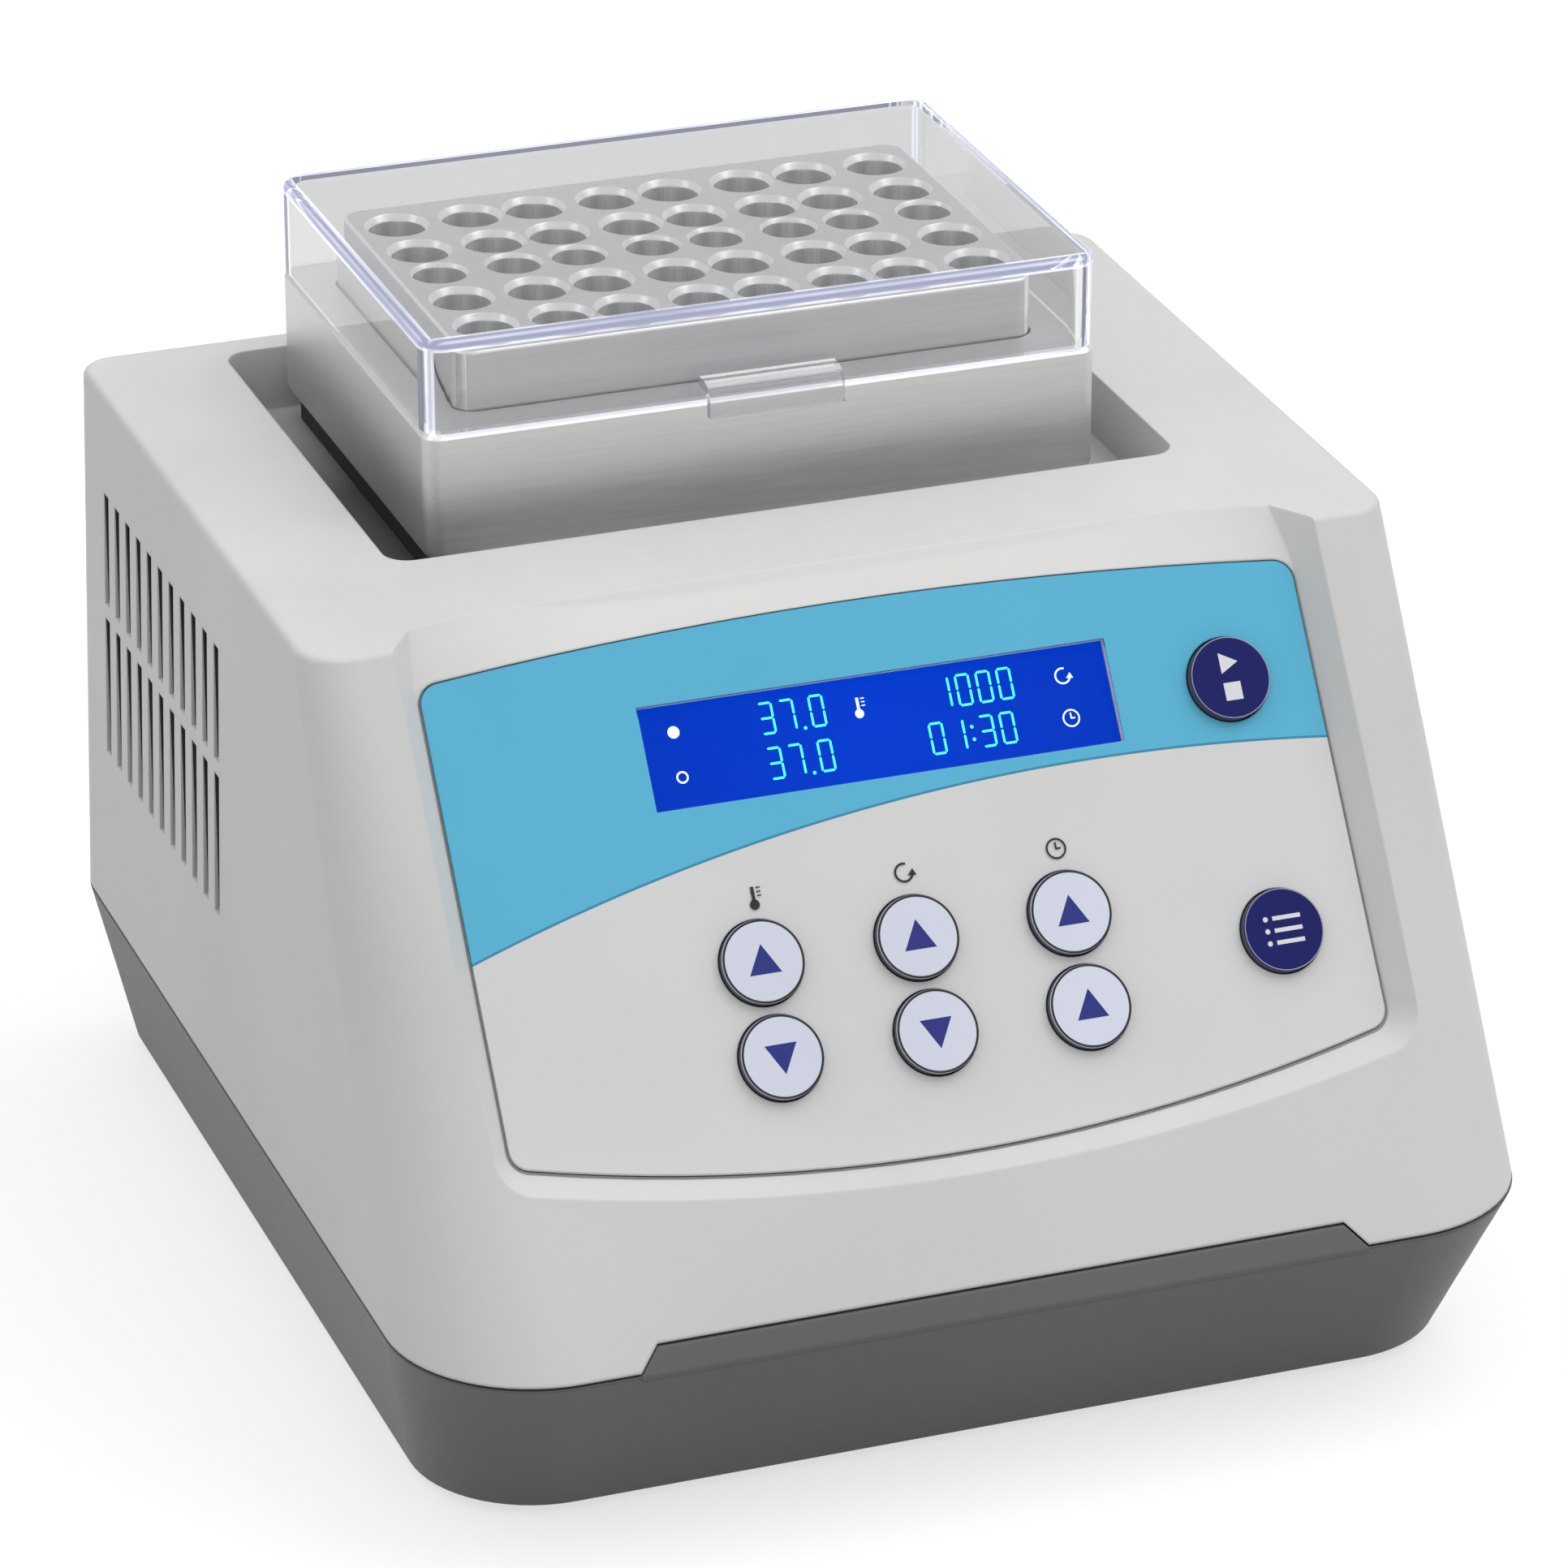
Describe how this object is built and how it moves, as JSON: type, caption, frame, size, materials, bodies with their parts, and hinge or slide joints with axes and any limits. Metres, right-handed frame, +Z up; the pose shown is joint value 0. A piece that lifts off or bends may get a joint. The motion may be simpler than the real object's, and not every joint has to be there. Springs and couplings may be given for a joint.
{
  "type": "thermal mixer",
  "caption": "Bench thermal mixer with a sloped control panel, an orbiting heated tube block under a clear lid and a dark base.",
  "frame": {"origin": "on the table under the middle of the case", "axes": "+X to the right, -Y towards the front panel, +Z up"},
  "size_m": [0.22, 0.2429, 0.1852],
  "materials": {
    "shell_plastic": "fine matt texture",
    "base_plastic": "matt",
    "overlay_film": "printed film, satin",
    "clear_window": "clear",
    "display": "lit display",
    "circuit_board": "solder mask",
    "switch_plastic": "matt",
    "navy_key": "satin",
    "pale_key": "satin",
    "rubber": "matt",
    "insulation": "matt",
    "heater": "film",
    "machined_aluminium": "satin machined",
    "cast_aluminium": "cast",
    "steel": "ground",
    "brass": "plated",
    "clear_lid": "clear acrylic"
  },
  "bodies": {
    "housing": {"top_shell": "shell_plastic", "base_shell": "base_plastic", "rubber_feet": "rubber", "case_screws": "steel", "control_overlay": "overlay_film", "display_window": "clear_window", "display_module": "display", "key_board": "circuit_board", "board_pillars": "steel", "key_switches": "switch_plastic", "bearing_hub": "cast_aluminium", "main_bearings": "steel", "motor_body": "steel", "drive_belt": "rubber", "idler_stands": "cast_aluminium", "power_supply": "steel", "board_standoffs": "steel", "main_board": "circuit_board", "heat_sink": "cast_aluminium", "fan_frame": "switch_plastic", "power_inlet": "switch_plastic", "inlet_pins": "brass", "switch_bezel": "switch_plastic", "chassis_plate": "steel", "chassis_screws": "steel"},
    "crank": {"eccentric_shaft": "steel", "driven_pulley": "cast_aluminium", "counterweight": "steel"},
    "platform": {"platform_plate": "cast_aluminium", "crank_bearing": "steel", "idler_bushes": "steel", "block_screws": "steel", "insulating_plinth": "insulation", "heater_mat": "heater", "heated_block": "machined_aluminium", "temperature_sensor": "steel", "tube_block": "machined_aluminium"},
    "lid": {"lid": "clear_lid"},
    "motor_rotor": {"motor_shaft": "steel", "motor_pulley": "cast_aluminium"},
    "fan_rotor": {"fan_rotor": "switch_plastic"},
    "power_rocker": {"power_rocker": "switch_plastic"},
    "idler_1": {"idler_crank_1": "steel"},
    "idler_2": {"idler_crank_2": "steel"},
    "idler_3": {"idler_crank_3": "steel"},
    "idler_4": {"idler_crank_4": "steel"},
    "start_stop_key": {"start_stop_key": "navy_key"},
    "program_key": {"program_key": "navy_key"},
    "temperature_up_key": {"temperature_up_key": "pale_key"},
    "temperature_down_key": {"temperature_down_key": "pale_key"},
    "speed_up_key": {"speed_up_key": "pale_key"},
    "speed_down_key": {"speed_down_key": "pale_key"},
    "time_up_key": {"time_up_key": "pale_key"},
    "time_down_key": {"time_down_key": "pale_key"}
  },
  "joints": [
    {"name": "crank_turn", "type": "hinge", "parent": "housing", "child": "crank", "pos_m": [0, 0.057, 0.06], "axis": [0, 0, 1], "continuous": true},
    {"name": "platform_turn", "type": "hinge", "parent": "crank", "child": "platform", "pos_m": [0.0015, 0.057, 0.1235], "axis": [0, 0, 1], "continuous": true},
    {"name": "lid_lift", "type": "slide", "parent": "platform", "child": "lid", "axis": [0, 0, 1], "range_m": [0, 0.08]},
    {"name": "motor_turn", "type": "hinge", "parent": "housing", "child": "motor_rotor", "pos_m": [0, -0.015, 0.06], "axis": [0, 0, 1], "continuous": true},
    {"name": "idler_turn_1", "type": "hinge", "parent": "housing", "child": "idler_1", "pos_m": [-0.064, 0.031, 0.06], "axis": [0, 0, 1], "continuous": true},
    {"name": "idler_turn_2", "type": "hinge", "parent": "housing", "child": "idler_2", "pos_m": [-0.064, 0.083, 0.06], "axis": [0, 0, 1], "continuous": true},
    {"name": "idler_turn_3", "type": "hinge", "parent": "housing", "child": "idler_3", "pos_m": [0.064, 0.031, 0.06], "axis": [0, 0, 1], "continuous": true},
    {"name": "idler_turn_4", "type": "hinge", "parent": "housing", "child": "idler_4", "pos_m": [0.064, 0.083, 0.06], "axis": [0, 0, 1], "continuous": true},
    {"name": "fan_turn", "type": "hinge", "parent": "housing", "child": "fan_rotor", "pos_m": [-0.05, 0.11586, 0.07584], "axis": [0, 0.9986, 0.0535], "continuous": true},
    {"name": "rocker_tilt", "type": "hinge", "parent": "housing", "child": "power_rocker", "pos_m": [0.066, 0.11636, 0.10395], "axis": [0, -0.0535, 0.9986], "range_deg": [-10, 10]},
    {"name": "start_stop_press", "type": "slide", "parent": "housing", "child": "start_stop_key", "axis": [0, 0.8172, -0.5764], "range_m": [0, 0.0005], "stiffness_N_per_m": 600},
    {"name": "program_press", "type": "slide", "parent": "housing", "child": "program_key", "axis": [0, 0.8172, -0.5764], "range_m": [0, 0.0005], "stiffness_N_per_m": 600},
    {"name": "temperature_up_press", "type": "slide", "parent": "housing", "child": "temperature_up_key", "axis": [0, 0.8172, -0.5764], "range_m": [0, 0.0005], "stiffness_N_per_m": 600},
    {"name": "temperature_down_press", "type": "slide", "parent": "housing", "child": "temperature_down_key", "axis": [0, 0.8172, -0.5764], "range_m": [0, 0.0005], "stiffness_N_per_m": 600},
    {"name": "speed_up_press", "type": "slide", "parent": "housing", "child": "speed_up_key", "axis": [0, 0.8172, -0.5764], "range_m": [0, 0.0005], "stiffness_N_per_m": 600},
    {"name": "speed_down_press", "type": "slide", "parent": "housing", "child": "speed_down_key", "axis": [0, 0.8172, -0.5764], "range_m": [0, 0.0005], "stiffness_N_per_m": 600},
    {"name": "time_up_press", "type": "slide", "parent": "housing", "child": "time_up_key", "axis": [0, 0.8172, -0.5764], "range_m": [0, 0.0005], "stiffness_N_per_m": 600},
    {"name": "time_down_press", "type": "slide", "parent": "housing", "child": "time_down_key", "axis": [0, 0.8172, -0.5764], "range_m": [0, 0.0005], "stiffness_N_per_m": 600}
  ],
  "couplings": [
    {"joint": "crank_turn", "follows": "platform_turn", "ratio": -1},
    {"joint": "motor_turn", "follows": "platform_turn", "ratio": -2},
    {"joint": "idler_turn_1", "follows": "platform_turn", "ratio": -1},
    {"joint": "idler_turn_2", "follows": "platform_turn", "ratio": -1},
    {"joint": "idler_turn_3", "follows": "platform_turn", "ratio": -1},
    {"joint": "idler_turn_4", "follows": "platform_turn", "ratio": -1}
  ]
}
